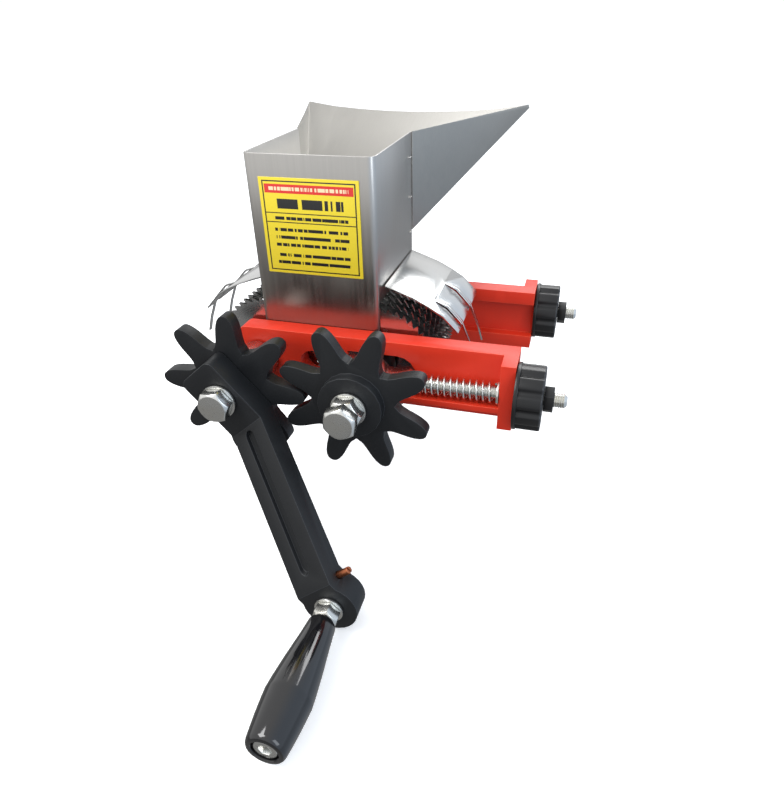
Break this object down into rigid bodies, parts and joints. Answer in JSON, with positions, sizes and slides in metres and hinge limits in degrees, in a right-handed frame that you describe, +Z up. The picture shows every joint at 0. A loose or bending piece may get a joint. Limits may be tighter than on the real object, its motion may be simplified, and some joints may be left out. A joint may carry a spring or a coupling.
{
  "type": "olive scoring mill",
  "caption": "Hand-cranked mill with two toothed rollers geared together between red side frames, under a steel sheet hopper and feed scoop, with sprung hand knobs that set the gap.",
  "frame": {"origin": "the middle of the front side frame's bottom face", "axes": "+X from the drive shaft towards the adjusting knobs, -Y towards the crank and gears, +Z up"},
  "size_m": [0.2415, 0.4242, 0.2214],
  "materials": {
    "frame_red": "orange-red moulded plastic with a satin face",
    "brushed_steel": "brushed stainless sheet, grain running up and down",
    "guard_steel": "smooth bright stainless sheet",
    "blade_steel": "bright cut stainless sheet",
    "zinc": "bright zinc plating",
    "black_plastic": "black moulded plastic, semi-gloss",
    "grip_black": "gloss black moulded plastic",
    "gear_black": "charcoal moulded plastic, satin",
    "label_print": null,
    "copper_screw": "reddish brown plated screw"
  },
  "bodies": {
    "root": {"side_frame_front": "frame_red", "side_frame_rear": "frame_red", "hopper_body": "brushed_steel", "hopper_tray": "brushed_steel", "hopper_label": "label_print", "guard_left": "guard_steel", "guard_right": "guard_steel", "drive_bush_front": "black_plastic", "drive_bush_rear": "black_plastic", "spring_washer_front": "zinc", "spring_washer_rear": "zinc"},
    "crank": {"drive_shaft": "zinc", "drive_drum": "black_plastic", "drive_blade_1": "blade_steel", "drive_blade_2": "blade_steel", "drive_blade_3": "blade_steel", "drive_blade_4": "blade_steel", "drive_blade_5": "blade_steel", "drive_blade_6": "blade_steel", "drive_blade_7": "blade_steel", "drive_blade_8": "blade_steel", "drive_blade_9": "blade_steel", "drive_gear": "gear_black", "drive_sleeve": "zinc", "crank_arm": "gear_black", "crank_washer": "zinc", "crank_bolt": "zinc", "set_screw": "copper_screw", "grip_washer": "zinc", "grip_nut": "zinc", "grip_screw": "zinc"},
    "grip": {"grip": "grip_black"},
    "adjuster": {"eye_bolt_front": "zinc", "eye_bolt_rear": "zinc", "spring_front": "zinc", "spring_rear": "zinc", "slide_bush_front": "black_plastic", "slide_bush_rear": "black_plastic"},
    "driven_roller": {"driven_shaft": "zinc", "driven_drum": "black_plastic", "driven_blade_1": "blade_steel", "driven_blade_2": "blade_steel", "driven_blade_3": "blade_steel", "driven_blade_4": "blade_steel", "driven_blade_5": "blade_steel", "driven_blade_6": "blade_steel", "driven_blade_7": "blade_steel", "driven_blade_8": "blade_steel", "driven_blade_9": "blade_steel", "driven_gear": "gear_black", "driven_sleeve": "zinc", "driven_washer": "zinc", "driven_nut": "zinc", "driven_bolt": "zinc"},
    "knob_front": {"knob_front": "black_plastic", "knob_nut_front": "black_plastic"},
    "knob_rear": {"knob_rear": "black_plastic", "knob_nut_rear": "black_plastic"}
  },
  "joints": [
    {"name": "crank_spin", "type": "hinge", "parent": "root", "child": "crank", "pos_m": [-0.073, 0.045, 0.02], "axis": [0, 1, 0], "continuous": true},
    {"name": "grip_spin", "type": "hinge", "parent": "crank", "child": "grip", "pos_m": [0.00356, -0.155, -0.06807], "axis": [0, 1, 0], "continuous": true},
    {"name": "gap_slide", "type": "slide", "parent": "root", "child": "adjuster", "axis": [1, 0, 0], "range_m": [-0.00125, 0.00625], "deforming": ["spring_front", "spring_rear"]},
    {"name": "driven_spin", "type": "hinge", "parent": "adjuster", "child": "driven_roller", "pos_m": [-0.001, 0.045, 0.02], "axis": [0, 1, 0], "continuous": true},
    {"name": "knob_front_turn", "type": "hinge", "parent": "root", "child": "knob_front", "pos_m": [0.09, -0.0133, 0.02], "axis": [1, 0, 0], "range_deg": [-1800, 360]},
    {"name": "knob_rear_turn", "type": "hinge", "parent": "root", "child": "knob_rear", "pos_m": [0.09, 0.1033, 0.02], "axis": [1, 0, 0], "range_deg": [-1800, 360]}
  ],
  "couplings": [
    {"joint": "driven_spin", "follows": "crank_spin", "ratio": -1},
    {"joint": "knob_front_turn", "follows": "gap_slide", "rad_per_m": -5026.5},
    {"joint": "knob_rear_turn", "follows": "gap_slide", "rad_per_m": -5026.5}
  ]
}
